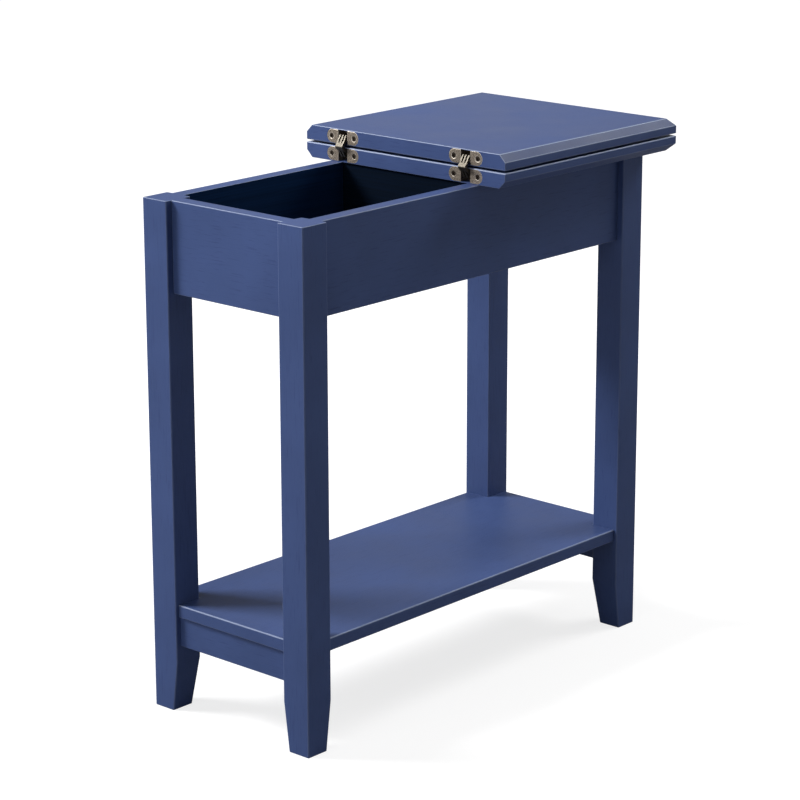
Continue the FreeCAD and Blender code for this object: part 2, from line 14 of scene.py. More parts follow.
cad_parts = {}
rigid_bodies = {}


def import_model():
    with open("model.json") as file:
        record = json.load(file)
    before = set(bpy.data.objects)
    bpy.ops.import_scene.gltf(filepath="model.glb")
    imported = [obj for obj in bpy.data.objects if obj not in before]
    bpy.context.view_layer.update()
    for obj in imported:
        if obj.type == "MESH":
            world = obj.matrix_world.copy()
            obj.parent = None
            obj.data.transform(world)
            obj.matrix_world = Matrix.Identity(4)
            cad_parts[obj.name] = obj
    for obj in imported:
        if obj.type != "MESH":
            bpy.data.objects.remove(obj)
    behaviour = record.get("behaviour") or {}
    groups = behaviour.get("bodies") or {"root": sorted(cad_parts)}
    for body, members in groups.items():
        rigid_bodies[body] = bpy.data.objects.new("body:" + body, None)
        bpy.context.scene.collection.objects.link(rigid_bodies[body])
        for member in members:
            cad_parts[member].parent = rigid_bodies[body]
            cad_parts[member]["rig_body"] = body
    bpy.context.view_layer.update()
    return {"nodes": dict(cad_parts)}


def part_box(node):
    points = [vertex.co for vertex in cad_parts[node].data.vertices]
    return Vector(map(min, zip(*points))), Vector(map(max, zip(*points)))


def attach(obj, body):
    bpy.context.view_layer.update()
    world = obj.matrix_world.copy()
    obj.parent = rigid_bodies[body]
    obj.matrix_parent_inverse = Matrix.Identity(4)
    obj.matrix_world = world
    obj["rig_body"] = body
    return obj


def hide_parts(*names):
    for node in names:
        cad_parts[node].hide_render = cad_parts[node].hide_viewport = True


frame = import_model()

# ---------------------------------------------------------------------------- camera
# A long lens, which keeps the uprights nearly parallel, well above the top of the table and turned to the
# corner between the open storage end and the right long side.
CAMERA_PLACE = Vector((-2.3711, -2.1143, 1.2076))
CAMERA_YAW, CAMERA_PITCH, CAMERA_ROLL = math.radians(41.938), math.radians(15.591), math.radians(-0.110)
CAMERA_LENS = 127.33                            # focal length in mm
CLIP_NEAR, CLIP_FAR = 0.1, 60.0

camera_data = bpy.data.cameras.new("camera")
camera_data.lens = CAMERA_LENS
camera_data.clip_start, camera_data.clip_end = CLIP_NEAR, CLIP_FAR
camera = bpy.data.objects.new("camera", camera_data)
heading = Matrix.Rotation(CAMERA_YAW - math.pi / 2, 4, "Z")
tilt = Matrix.Rotation(math.pi / 2 - CAMERA_PITCH, 4, "X")
roll = Matrix.Rotation(CAMERA_ROLL, 4, "Z")
camera.matrix_world = Matrix.Translation(CAMERA_PLACE) @ heading @ tilt @ roll
bpy.context.scene.collection.objects.link(camera)
bpy.context.scene.camera = camera
bpy.context.scene.view_settings.view_transform = "Standard"

# ---------------------------------------------------------------------------- floor
# Seamless studio paper, matt and smooth, rolled out to the horizon. It takes the table's shadow. What looks
# straight at it, or at its far part by a reflection, sees it lifted to white, more so far from the table.
FLOOR_SIZE = 40.0
FLOOR_PAPER = "#959595"
LIFT_NEAR, LIFT_FAR = 0.78, 0.97                # light added to the paper, near the table and far from it
LIFT_FROM, LIFT_TO = 0.35, 1.3                  # distance from the table's middle
BACKDROP_NEAR, BACKDROP_FAR = 1.2, 2.4          # behind the table, where its reflection turns white


def linear(code):
    """Linear colour of an sRGB hex value."""
    channels = [int(code[i:i + 2], 16) / 255 for i in (1, 3, 5)]
    return [c / 12.92 if c <= 0.04045 else ((c + 0.055) / 1.055) ** 2.4 for c in channels] + [1.0]


def add(tree, kind, settings=None, inputs=None):
    """Add a node with its settings, and set or link its inputs."""
    node = tree.nodes.new(kind)
    for name, value in (settings or {}).items():
        setattr(node, name, value)
    for name, value in (inputs or {}).items():
        if isinstance(value, bpy.types.NodeSocket):
            tree.links.new(value, node.inputs[name])
        else:
            node.inputs[name].default_value = value
    return node


def new_material(name):
    """Empty node material and its tree."""
    made = bpy.data.materials.new(name)
    made.use_nodes = True
    made.node_tree.nodes.clear()
    return made, made.node_tree


def seen_or_mirrored(tree, mirror_mask):
    """1 for what looks straight at a surface, and for reflections and glass where the mask is 1."""
    rays = add(tree, "ShaderNodeLightPath")
    mirrored = add(tree, "ShaderNodeMath", {"operation": "MAXIMUM"},
                   {0: rays.outputs["Is Glossy Ray"], 1: rays.outputs["Is Transmission Ray"]})
    masked = add(tree, "ShaderNodeMath", {"operation": "MULTIPLY"},
                 {0: mirrored.outputs[0], 1: mirror_mask})
    seen = add(tree, "ShaderNodeMath", {"operation": "MAXIMUM"},
               {0: rays.outputs["Is Camera Ray"], 1: masked.outputs[0]})
    return seen.outputs[0]


paper, tree = new_material("seamless_paper")
matt = add(tree, "ShaderNodeBsdfDiffuse", None, {"Color": linear(FLOOR_PAPER)})
place = add(tree, "ShaderNodeTexCoord")
behind = add(tree, "ShaderNodeVectorMath", {"operation": "DOT_PRODUCT"},
             {0: place.outputs["Object"], 1: (math.cos(CAMERA_YAW), math.sin(CAMERA_YAW), 0)})
backdrop = add(tree, "ShaderNodeMapRange", {"interpolation_type": "SMOOTHSTEP"},
               {"Value": behind.outputs["Value"], "From Min": BACKDROP_NEAR, "From Max": BACKDROP_FAR})
away = add(tree, "ShaderNodeVectorMath", {"operation": "LENGTH"}, {0: place.outputs["Object"]})
white = add(tree, "ShaderNodeMapRange", {"interpolation_type": "SMOOTHSTEP"},
            {"Value": away.outputs["Value"], "From Min": LIFT_FROM, "From Max": LIFT_TO,
             "To Min": LIFT_NEAR, "To Max": LIFT_FAR})
lift = add(tree, "ShaderNodeMath", {"operation": "MULTIPLY"},
           {0: seen_or_mirrored(tree, backdrop.outputs[0]), 1: white.outputs[0]})
glow = add(tree, "ShaderNodeEmission", None, {"Strength": lift.outputs[0]})
both = add(tree, "ShaderNodeAddShader", None, {0: matt.outputs[0], 1: glow.outputs[0]})
add(tree, "ShaderNodeOutputMaterial", None, {"Surface": both.outputs[0]})

half = FLOOR_SIZE / 2
floor_mesh = bpy.data.meshes.new("floor")
floor_mesh.from_pydata([(-half, -half, 0), (half, -half, 0), (half, half, 0), (-half, half, 0)], [],
                       [(0, 1, 2, 3)])
floor_mesh.materials.append(paper)
floor = bpy.data.objects.new("floor", floor_mesh)
bpy.context.scene.collection.objects.link(floor)

# ---------------------------------------------------------------------------- light
# A soft box high on the left of the storage end, a wide weak one before that end, one overhead, one high
# on the right whose reflection lies on the chamfers, a weak one for the long side, and one low behind for
# the sheen of the flat tops. The world is a dim grey room with a white backdrop.
WORLD_LEVEL = 0.15
BACKDROP_WHITE = "#ffffff"
BACKDROP_TOP = 0.10                             # sine of the backdrop's upper edge over the horizon
LIGHTS = (
    # name, place, aimed at, width, height, power in watts
    ("key", (-1.35, 1.75, 2.15), (-0.1, 0.0, 0.4), 0.9, 0.9, 110),
    ("front", (-3.4, -0.3, 1.2), (0.0, 0.0, 0.35), 1.8, 1.8, 25),
    ("overhead", (0.3, -0.5, 2.9), (0.1, 0.0, 0.6), 1.0, 1.0, 9),
    ("right", (1.95, -0.75, 2.3), (0.1, 0.0, 0.6), 1.0, 1.0, 38),
    ("fill", (1.6, -2.2, 0.8), (0.1, 0.0, 0.4), 1.0, 1.0, 4),
    ("behind", (2.15, 1.85, 1.45), (0.0, 0.0, 0.6), 1.0, 0.7, 1.7),
)

world = bpy.data.worlds.new("studio")
world.use_nodes = True
tree = world.node_tree
tree.nodes.clear()
place = add(tree, "ShaderNodeTexCoord")
height = add(tree, "ShaderNodeSeparateXYZ", None, {0: place.outputs["Generated"]})
low = add(tree, "ShaderNodeMath", {"operation": "LESS_THAN"}, {0: height.outputs["Z"], 1: BACKDROP_TOP})
level = add(tree, "ShaderNodeMapRange", None,
            {"Value": seen_or_mirrored(tree, low.outputs[0]), "To Min": WORLD_LEVEL, "To Max": 1.0})
sky = add(tree, "ShaderNodeBackground", None,
          {"Color": linear(BACKDROP_WHITE), "Strength": level.outputs[0]})
add(tree, "ShaderNodeOutputWorld", None, {"Surface": sky.outputs[0]})
bpy.context.scene.world = world

for name, spot, target, width, tall, power in LIGHTS:
    lamp = bpy.data.lights.new(name, "AREA")
    lamp.shape = "RECTANGLE"
    lamp.size, lamp.size_y, lamp.energy = width, tall, power
    box = bpy.data.objects.new(name, lamp)
    box.location = spot
    box.rotation_mode = "QUATERNION"
    box.rotation_quaternion = (Vector(target) - Vector(spot)).to_track_quat("-Z", "Y")
    bpy.context.scene.collection.objects.link(box)

# ---------------------------------------------------------------------------- legs
# Four square hardwood legs, planed, tapered at the foot, their edges sanded round, then sprayed with the
# rest of the frame in satin navy enamel. The enamel sinks into the open grain and runs thin on the edges,
# which are drawn paler: worn paint, and a painted highlight that is strongest where they face up.
MM = 0.001                                      # in metres
# The edge colour is the worn edge's paler paint and also stands for a painted highlight.
ENAMEL, ENAMEL_PORE, ENAMEL_EDGE_WEAR_AND_HIGHLIGHT = "#3b4c78", "#33426e", "#b4c0d8"
ENAMEL_ROUGHNESS = 0.47
ENAMEL_SPECULAR = 0.19
PAINT_IOR = 1.5
PORE_LENGTH, PORE_WIDTH = 26 * MM, 1.1 * MM     # real pores are 0.3 mm wide, too fine to show
PORE_FAINT, PORE_FULL = 0.54, 0.72              # level of the noise at which a pore starts and is full
MOTTLE = 90 * MM                                # length over which the coat's tone and gloss drift
TONE_DRIFT = 0.08                               # share of the tone, either way
GLOSSIER, DULLER = 0.04, 0.05                   # roughness, either way
NOISE_LOW, NOISE_HIGH = 0.3, 0.7                # nearly all of a noise lies between these
ORANGE_PEEL = 1.6 * MM                          # dimples of a sprayed coat
PORE_DEPTH, PEEL_DEPTH = 0.03 * MM, 0.012 * MM
EDGE_WEAR_AND_HIGHLIGHT_UPRIGHT, EDGE_WEAR_AND_HIGHLIGHT_ABOVE = 0.13, 0.62       # how pale a much worn edge is, upright and facing up: thin paint and painted highlight
UPRIGHT, FACING_UP = 0.1, 0.6                   # rise of the surface's normal for the two
EDGE_PALE_SOME, EDGE_PALE_MOST = 0.6, 1.0                      # share of that paleness, wear and painted highlight, on edges seldom and often touched

SANDED_EDGE = 0.7 * MM
ROUND_STEPS = 2                                 # flats round a sanded edge
ROUND_FACE = 1.35 * MM                          # a face narrower than this is part of a rounded edge
WELD = 0.001 * MM                               # corners this near are one corner
FLAT_TOLERANCE = math.radians(1)                # faces that bend less than this are one flat
SHARP = math.radians(40)                        # an edge that bends more than this gets rounded
SMOOTH = math.radians(50)                       # faces that bend less than this share a soft shade
TOUCHING = 0.15 * MM                            # an edge this near another piece is in a joint
ALONG_EDGE = (0.25, 0.5, 0.75)                  # where an edge is tried for a neighbour


def enamel(axis):
    """Satin enamel on open-grained wood with the grain along one axis: a soft sheen, faint long pores
    and paler edges, partly paint wearing off and partly a painted highlight, strongest where they face up."""
    made, tree = new_material("satin_enamel_grain_" + axis)
    stretch = [1 / PORE_WIDTH if letter != axis else 1 / PORE_LENGTH for letter in "xyz"]
    place = add(tree, "ShaderNodeTexCoord")
    along = add(tree, "ShaderNodeMapping", None, {"Vector": place.outputs["Object"], "Scale": stretch})
    grain = add(tree, "ShaderNodeTexNoise", None,
                {"Vector": along.outputs[0], "Scale": 1.0, "Detail": 3.0, "Roughness": 0.6})
    pores = add(tree, "ShaderNodeMapRange", {"interpolation_type": "SMOOTHSTEP"},
                {"Value": grain.outputs[0], "From Min": PORE_FAINT, "From Max": PORE_FULL})
    cloud = add(tree, "ShaderNodeTexNoise", None,
                {"Vector": place.outputs["Object"], "Scale": 1 / MOTTLE, "Detail": 3.0})
    peel = add(tree, "ShaderNodeTexNoise", None,
               {"Vector": place.outputs["Object"], "Scale": 1 / ORANGE_PEEL, "Detail": 1.0})
    dark = add(tree, "ShaderNodeMix", {"data_type": "RGBA"},
               {0: pores.outputs[0], 6: linear(ENAMEL), 7: linear(ENAMEL_PORE)})
    shade = add(tree, "ShaderNodeMapRange", None,
                {"Value": cloud.outputs[0], "From Min": NOISE_LOW, "From Max": NOISE_HIGH,
                 "To Min": 1 - TONE_DRIFT, "To Max": 1 + TONE_DRIFT})
    toned = add(tree, "ShaderNodeVectorMath", {"operation": "SCALE"},
                {0: dark.outputs[2], "Scale": shade.outputs[0]})
    eased = add(tree, "ShaderNodeAttribute", {"attribute_name": "eased"})
    facing = add(tree, "ShaderNodeNewGeometry")
    up = add(tree, "ShaderNodeSeparateXYZ", None, {0: facing.outputs["Normal"]})
    # Eased edges are drawn paler: partly worn paint, partly a painted highlight that grows as they face up.
    lighten = add(tree, "ShaderNodeMapRange", {"interpolation_type": "SMOOTHSTEP"},
              {"Value": up.outputs["Z"], "From Min": UPRIGHT, "From Max": FACING_UP,
               "To Min": EDGE_WEAR_AND_HIGHLIGHT_UPRIGHT, "To Max": EDGE_WEAR_AND_HIGHLIGHT_ABOVE})
    edge_lightening = add(tree, "ShaderNodeMath", {"operation": "MULTIPLY"},
               {0: eased.outputs["Fac"], 1: lighten.outputs[0]})
    lightened = add(tree, "ShaderNodeMix", {"data_type": "RGBA"},
               {0: edge_lightening.outputs[0], 6: toned.outputs[0], 7: linear(ENAMEL_EDGE_WEAR_AND_HIGHLIGHT)})
    gloss = add(tree, "ShaderNodeMapRange", None,
                {"Value": cloud.outputs[0], "From Min": NOISE_LOW, "From Max": NOISE_HIGH,
                 "To Min": ENAMEL_ROUGHNESS - GLOSSIER, "To Max": ENAMEL_ROUGHNESS + DULLER})
    fine = add(tree, "ShaderNodeBump", None,
               {"Height": peel.outputs[0], "Strength": 0.5, "Distance": PEEL_DEPTH})
    sunk = add(tree, "ShaderNodeBump", {"invert": True},
               {"Height": pores.outputs[0], "Strength": 1.0, "Distance": PORE_DEPTH,
                "Normal": fine.outputs[0]})
    paint = add(tree, "ShaderNodeBsdfPrincipled", None,
                {"Base Color": lightened.outputs[2], "Roughness": gloss.outputs[0], "IOR": PAINT_IOR,
                 "Specular IOR Level": ENAMEL_SPECULAR, "Normal": sunk.outputs[0]})
    add(tree, "ShaderNodeOutputMaterial", None, {"Surface": paint.outputs[0]})
    return made


enamels = {axis: enamel(axis) for axis in "xyz"}

nodes = frame["nodes"]
surfaces = {}
for name, solid in nodes.items():
    surfaces[name] = BVHTree.FromPolygons([corner.co for corner in solid.data.vertices],
                                          [face.vertices for face in solid.data.polygons])


def is_joined(node, edge):
    """Whether an edge of a piece lies against another piece, where paint and glue fill it."""
    spots = [edge.verts[0].co.lerp(edge.verts[1].co, share) for share in ALONG_EDGE]
    return any(surface.find_nearest(spot, TOUCHING)[0] for name, surface in surfaces.items()
               if name != node for spot in spots)


def soften(made):
    """Smooth normals over the small rounds of a mesh, with its large flats kept flat."""
    shape = bmesh.new()
    shape.from_mesh(made)
    normals = []
    for face in shape.faces:
        for loop in face.loops:
            around = [other for other in loop.vert.link_faces
                      if face.normal.angle(other.normal, 0) < SMOOTH]
            total = Vector((0, 0, 0))
            for other in around:
                total += other.normal * other.calc_area()
            normals.append(total.normalized())
    shape.free()
    made.shade_smooth()
    made.normals_split_custom_set(normals)


def stand_in(made, node, finish):
    """Put a finished mesh in the place of a CAD node."""
    made.materials.clear()
    made.materials.append(finish)
    piece = bpy.data.objects.new(node + "_finished", made)
    bpy.context.scene.collection.objects.link(piece)
    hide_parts(node)
    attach(piece, nodes[node]["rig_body"])
    return piece


def dress(node, finish, edge=SANDED_EDGE, steps=ROUND_STEPS, narrow=ROUND_FACE, shortest=0,
          filled=True, pale_share=EDGE_PALE_SOME):
    """Stand a finished copy in for a CAD node. Its facets are joined to whole faces, its sharp edges are
    rounded and its narrow round faces marked with how pale they are drawn, from paint wearing off and a
    painted highlight. Edges up to the shortest length stay sharp, and so do filled ones, which lie in a
    joint."""
    made = bpy.data.meshes.new(node + "_finished")
    shape = bmesh.new()
    shape.from_mesh(nodes[node].data)
    bmesh.ops.remove_doubles(shape, verts=shape.verts, dist=WELD)
    bmesh.ops.dissolve_limit(shape, angle_limit=FLAT_TOLERANCE, verts=shape.verts, edges=shape.edges)
    sharp = [e for e in shape.edges if e.is_manifold and e.calc_face_angle() > SHARP
             and e.calc_length() > shortest and not (filled and is_joined(node, e))]
    # Overlap isn't clamped where short edges stay sharp: they would hold back the rounds beside them.
    bmesh.ops.bevel(shape, geom=sharp, offset=edge, offset_type="OFFSET", segments=steps, profile=0.5,
                    affect="EDGES", clamp_overlap=not shortest)
    marked = shape.faces.layers.float.new("eased")
    for face in shape.faces:
        longest = max(e.calc_length() for e in face.edges)
        face[marked] = pale_share if face.calc_area() < narrow * longest else 0.0
    shape.to_mesh(made)
    shape.free()
    soften(made)
    return stand_in(made, node, finish)


for end in ("storage", "fixed"):
    for side in ("right", "left"):
        dress("leg_%s_%s" % (end, side), enamels["z"])

# ---------------------------------------------------------------------------- aprons
# Four boards tenoned into the legs and painted with them. Inside the compartment they were brushed, not
# sprayed: a flat coat with no sheen, drawn much darker as painted shade for the dim box.
WALL_PAINTED_SHADE, WALL_PAINTED_SHADE_STREAK = "#082241", "#0a274b"
INSIDE_ROUGHNESS = 0.9
INSIDE_SPECULAR = 0.05
BRISTLE_WIDTH, BRISTLE_LENGTH = 2.2 * MM, 140 * MM    # marks of 1 mm, drawn coarser to show
BRISTLE_HEIGHT = 0.05 * MM
STREAK_FAINT, STREAK_FULL = 0.35, 0.65          # level of the noise at which a streak starts and is full
LOOKS_IN = 0.9                                  # cosine above which a face looks into the compartment
INNER_FACES = (
    ("apron_right", "x", (0, 1, 0)),
    ("apron_left", "x", (0, -1, 0)),
    ("apron_storage_end", "y", (1, 0, 0)),
)


def brushed(name, code, streaked):
    """Flat paint brushed on level: no sheen, faint long bristle marks a little lighter than the rest."""
    made, tree = new_material(name)
    place = add(tree, "ShaderNodeTexCoord")
    along = add(tree, "ShaderNodeMapping", None,
                {"Vector": place.outputs["Object"],
                 "Scale": (1 / BRISTLE_LENGTH, 1 / BRISTLE_LENGTH, 1 / BRISTLE_WIDTH)})
    streak = add(tree, "ShaderNodeTexNoise", None,
                 {"Vector": along.outputs[0], "Scale": 1.0, "Detail": 2.0})
    streaks = add(tree, "ShaderNodeMapRange", None,
                  {"Value": streak.outputs[0], "From Min": STREAK_FAINT, "From Max": STREAK_FULL})
    colour = add(tree, "ShaderNodeMix", {"data_type": "RGBA"},
                 {0: streaks.outputs[0], 6: linear(code), 7: linear(streaked)})
    ridge = add(tree, "ShaderNodeBump", None,
                {"Height": streak.outputs[0], "Strength": 0.15, "Distance": BRISTLE_HEIGHT})
    coat = add(tree, "ShaderNodeBsdfPrincipled", None,
               {"Base Color": colour.outputs[2], "Roughness": INSIDE_ROUGHNESS, "IOR": PAINT_IOR,
                "Specular IOR Level": INSIDE_SPECULAR, "Normal": ridge.outputs[0]})
    add(tree, "ShaderNodeOutputMaterial", None, {"Surface": coat.outputs[0]})
    return made


def paint_shade_inside(piece, inwards, coat):
    """Give the faces that look into the compartment its flat coat, drawn dark as painted shade."""
    piece.data.materials.append(coat)
    for face in piece.data.polygons:
        if face.normal.dot(Vector(inwards)) > LOOKS_IN:
            face.material_index = 1


# The inner faces' flat coat is drawn much darker than the enamel: painted shade.
wall_painted_shade = brushed("flat_paint_painted_shade", WALL_PAINTED_SHADE, WALL_PAINTED_SHADE_STREAK)
for node, axis, inwards in INNER_FACES:
    paint_shade_inside(dress(node, enamels[axis]), inwards, wall_painted_shade)
dress("apron_fixed_end", enamels["y"])

# ---------------------------------------------------------------------------- storage compartment
# A thin wall across the middle, housed in the long aprons, and a floor panel laid loose on four cleats.
# Both are board in the compartment's flat coat, drawn almost black as painted shade.
BOARD_PAINTED_SHADE, BOARD_PAINTED_SHADE_STREAK = "#020b18", "#030f20"
PANEL_EDGE = 0.3 * MM

board_painted_shade = brushed("board_flat_paint_painted_shade", BOARD_PAINTED_SHADE, BOARD_PAINTED_SHADE_STREAK)
paint_shade_inside(dress("compartment_divider", enamels["y"]), (-1, 0, 0), board_painted_shade)
dress("compartment_floor", board_painted_shade, PANEL_EDGE)

# ---------------------------------------------------------------------------- shelf and its rails
# One board notched round the legs, its edges sanded round, held by screws that come up through a rail at
# each end. The rails are tenoned between the legs and painted with them.
dress("shelf", enamels["x"])
for end in ("storage", "fixed"):
    dress("shelf_rail_%s_end" % end, enamels["y"])

# ---------------------------------------------------------------------------- leaves of the top
# Two boards cut alike from edge-glued planks with the grain across the table, small rounds on their show
# faces and a wide chamfer under the three free edges. The flip leaf lies face down. The leaves are handled,
# so their edges are rubbed most and carry the strongest painted highlight.
SHORTEST_ROUNDED = 5 * MM                       # shorter edges of the boards are left as they are cut

for node in ("fixed_leaf", "flip_leaf"):
    dress(node, enamels["y"], shortest=SHORTEST_ROUNDED, pale_share=EDGE_PALE_MOST)

# ---------------------------------------------------------------------------- hidden cleats and blocks
# Sawn spruce, glued and left bare under the top: pale, dull and dry, with straight bands of darker late
# wood and the saw's fine fuzz.
SPRUCE, SPRUCE_LATE = "#cfae7c", "#a77b48"
SPRUCE_ROUGHNESS = 0.8
SPRUCE_SPECULAR = 0.3
WOOD_IOR = 1.5
RING_WIDTH, RING_LENGTH = 2.4 * MM, 160 * MM
LATE_FROM, LATE_FULL = 0.5, 0.66                # level of the noise at which late wood starts and is full
FUZZ, FUZZ_HEIGHT = 0.9 * MM, 0.1 * MM          # fuzz of 0.3 mm, drawn coarser to show
SAWN_EDGE = 0.3 * MM
CLEATS = (
    ("floor_cleat_right", "x"), ("floor_cleat_left", "x"),
    ("floor_cleat_end", "y"), ("floor_cleat_divider", "y"),
    ("fixing_cleat_right", "x"), ("fixing_cleat_left", "x"),
    ("corner_block_right", "z"), ("corner_block_left", "z"),
)


def spruce(axis):
    """Bare sawn spruce with the grain along one axis."""
    made, tree = new_material("bare_spruce_grain_" + axis)
    stretch = [1 / RING_WIDTH if letter != axis else 1 / RING_LENGTH for letter in "xyz"]
    place = add(tree, "ShaderNodeTexCoord")
    along = add(tree, "ShaderNodeMapping", None, {"Vector": place.outputs["Object"], "Scale": stretch})
    rings = add(tree, "ShaderNodeTexNoise", None,
                {"Vector": along.outputs[0], "Scale": 1.0, "Detail": 4.0})
    late = add(tree, "ShaderNodeMapRange", {"interpolation_type": "SMOOTHSTEP"},
               {"Value": rings.outputs[0], "From Min": LATE_FROM, "From Max": LATE_FULL})
    colour = add(tree, "ShaderNodeMix", {"data_type": "RGBA"},
                 {0: late.outputs[0], 6: linear(SPRUCE), 7: linear(SPRUCE_LATE)})
    fuzz = add(tree, "ShaderNodeTexNoise", None,
               {"Vector": place.outputs["Object"], "Scale": 1 / FUZZ, "Detail": 2.0})
    sawn = add(tree, "ShaderNodeBump", None,
               {"Height": fuzz.outputs[0], "Strength": 0.5, "Distance": FUZZ_HEIGHT})
    wood = add(tree, "ShaderNodeBsdfPrincipled", None,
               {"Base Color": colour.outputs[2], "Roughness": SPRUCE_ROUGHNESS, "IOR": WOOD_IOR,
                "Specular IOR Level": SPRUCE_SPECULAR, "Normal": sawn.outputs[0]})
    add(tree, "ShaderNodeOutputMaterial", None, {"Surface": wood.outputs[0]})
    return made


spruces = {axis: spruce(axis) for axis in "xyz"}
for node, axis in CLEATS:
    dress(node, spruces[axis], SAWN_EDGE)

# ---------------------------------------------------------------------------- hinge cups
# Four pressure-cast zinc cups let into the leaves' hinge faces, tumbled and antique plated: brown-grey
# and dull, with the plating rubbed pale on the rims of the lobes and of the screw holes, a paleness that
# also serves as a painted highlight on those rims.
ZINC, ZINC_GRIME, ZINC_RIM_WEAR_AND_HIGHLIGHT = "#a2978a", "#3f362e", "#c4bbaf"
ZINC_ROUGHNESS = 0.58
ZINC_GLOSSIER, ZINC_DULLER = 0.08, 0.1          # roughness, either way
CAST_GRAIN = 1.1 * MM                           # tumbling marks of 0.2 mm, drawn coarser to show
CAST_DEPTH = 0.06 * MM
GRIME_FAINT, GRIME_FULL = 0.42, 0.66            # level of the noise at which grime starts and is full
CUP_EDGE = 0.55 * MM
CUP_ROUND_FACE = 0.8 * MM

zinc, tree = new_material("antique_plated_cast_zinc")
place = add(tree, "ShaderNodeTexCoord")
cast = add(tree, "ShaderNodeTexNoise", None,
           {"Vector": place.outputs["Object"], "Scale": 1 / CAST_GRAIN, "Detail": 3.0, "Roughness": 0.6})
stain = add(tree, "ShaderNodeMapRange", None,
            {"Value": cast.outputs[0], "From Min": GRIME_FAINT, "From Max": GRIME_FULL})
plated = add(tree, "ShaderNodeMix", {"data_type": "RGBA"},
             {0: stain.outputs[0], 6: linear(ZINC), 7: linear(ZINC_GRIME)})
eased = add(tree, "ShaderNodeAttribute", {"attribute_name": "eased"})
# The rims are drawn pale: rubbed plating and a painted highlight.
rims_paled = add(tree, "ShaderNodeMix", {"data_type": "RGBA"},
             {0: eased.outputs["Fac"], 6: plated.outputs[2], 7: linear(ZINC_RIM_WEAR_AND_HIGHLIGHT)})
shine = add(tree, "ShaderNodeMapRange", None,
            {"Value": cast.outputs[0], "From Min": NOISE_LOW, "From Max": NOISE_HIGH,
             "To Min": ZINC_ROUGHNESS - ZINC_GLOSSIER, "To Max": ZINC_ROUGHNESS + ZINC_DULLER})
dents = add(tree, "ShaderNodeBump", None,
            {"Height": cast.outputs[0], "Strength": 0.6, "Distance": CAST_DEPTH})
metal = add(tree, "ShaderNodeBsdfPrincipled", None,
            {"Base Color": rims_paled.outputs[2], "Metallic": 1.0, "Roughness": shine.outputs[0],
             "Normal": dents.outputs[0]})
add(tree, "ShaderNodeOutputMaterial", None, {"Surface": metal.outputs[0]})

for leaf in ("fixed", "flip"):
    for side in ("right", "left"):
        dress("hinge_cup_%s_%s" % (leaf, side), zinc, CUP_EDGE, narrow=CUP_ROUND_FACE,
              filled=False, pale_share=EDGE_PALE_MOST)

# ---------------------------------------------------------------------------- hinge links and pins
# Link plates blanked from steel strip, bent to a knee and riveted into packs of three and two, then
# nickel plated: a warm grey with a satin sheen, brushed along the strip, with soft blanked edges.
NICKEL, NICKEL_DULL = "#746f65", "#524d46"
NICKEL_ROUGHNESS = 0.55
NICKEL_GLOSSIER, NICKEL_DULLER = 0.06, 0.08     # roughness, either way
BRUSH_WIDTH, BRUSH_LENGTH = 0.5 * MM, 9 * MM    # brushing of 0.05 mm, drawn coarser to show
PLATE_EDGE = 0.15 * MM
PLATE_STEPS = 1                                 # a plain bevel

nickel, tree = new_material("nickel_plated_steel")
place = add(tree, "ShaderNodeTexCoord")
along = add(tree, "ShaderNodeMapping", None,
            {"Vector": place.outputs["Object"],
             "Scale": (1 / BRUSH_WIDTH, 1 / BRUSH_WIDTH, 1 / BRUSH_LENGTH)})
brush = add(tree, "ShaderNodeTexNoise", None, {"Vector": along.outputs[0], "Scale": 1.0, "Detail": 2.0})
tone = add(tree, "ShaderNodeMapRange", None,
           {"Value": brush.outputs[0], "From Min": NOISE_LOW, "From Max": NOISE_HIGH})
colour = add(tree, "ShaderNodeMix", {"data_type": "RGBA"},
             {0: tone.outputs[0], 6: linear(NICKEL), 7: linear(NICKEL_DULL)})
shine = add(tree, "ShaderNodeMapRange", None,
            {"Value": brush.outputs[0], "From Min": NOISE_LOW, "From Max": NOISE_HIGH,
             "To Min": NICKEL_ROUGHNESS - NICKEL_GLOSSIER, "To Max": NICKEL_ROUGHNESS + NICKEL_DULLER})
metal = add(tree, "ShaderNodeBsdfPrincipled", None,
            {"Base Color": colour.outputs[2], "Metallic": 1.0, "Roughness": shine.outputs[0]})
add(tree, "ShaderNodeOutputMaterial", None, {"Surface": metal.outputs[0]})

for side in ("right", "left"):
    for part in ("hinge_links_lower_", "hinge_links_upper_", "hinge_pin_"):
        dress(part + side, nickel, PLATE_EDGE, PLATE_STEPS, filled=False)

# ---------------------------------------------------------------------------- screws
# Cross-recess wood screws, cold headed from wire: countersunk and blackened in the hinge cups, pan head
# and zinc plated where they hold the fixed leaf and the shelf from below.
SCREW_SEED = 7
SCREW_SIDES = 24
HEAD_RINGS = 3                                  # in the head's ends, for the dome to bend
SLIVER = 0.02 * MM                              # corners closer than this are one corner
DEEPER_BAR = 1.05                               # keeps the floors of the two crossed cuts apart
COUNTERSUNK = {"Head Radius": 3.2 * MM, "Head Height": 1.15 * MM, "Foot Radius": 2.0 * MM,
               "Dome": 0.1 * MM, "Shank Radius": 1.9 * MM, "Shank Length": 16 * MM,
               "Recess Reach": 2.1 * MM, "Recess Width": 1.2 * MM, "Recess Depth": 0.9 * MM}
PAN_HEAD = {"Head Radius": 3.8 * MM, "Head Height": 2.2 * MM, "Foot Radius": 3.8 * MM,
            "Dome": 0.9 * MM, "Shank Radius": 1.9 * MM, "Shank Length": 8 * MM,
            "Recess Reach": 2.1 * MM, "Recess Width": 0.9 * MM, "Recess Depth": 1.4 * MM}
BLACKENED, BLACKENED_RUBBED, BLACKENED_ROUGHNESS = "#453d36", "#6e645a", 0.45
ZINC_PLATED, ZINC_PLATED_RUBBED, ZINC_PLATED_ROUGHNESS = "#b9bcc0", "#dcdee0", 0.3
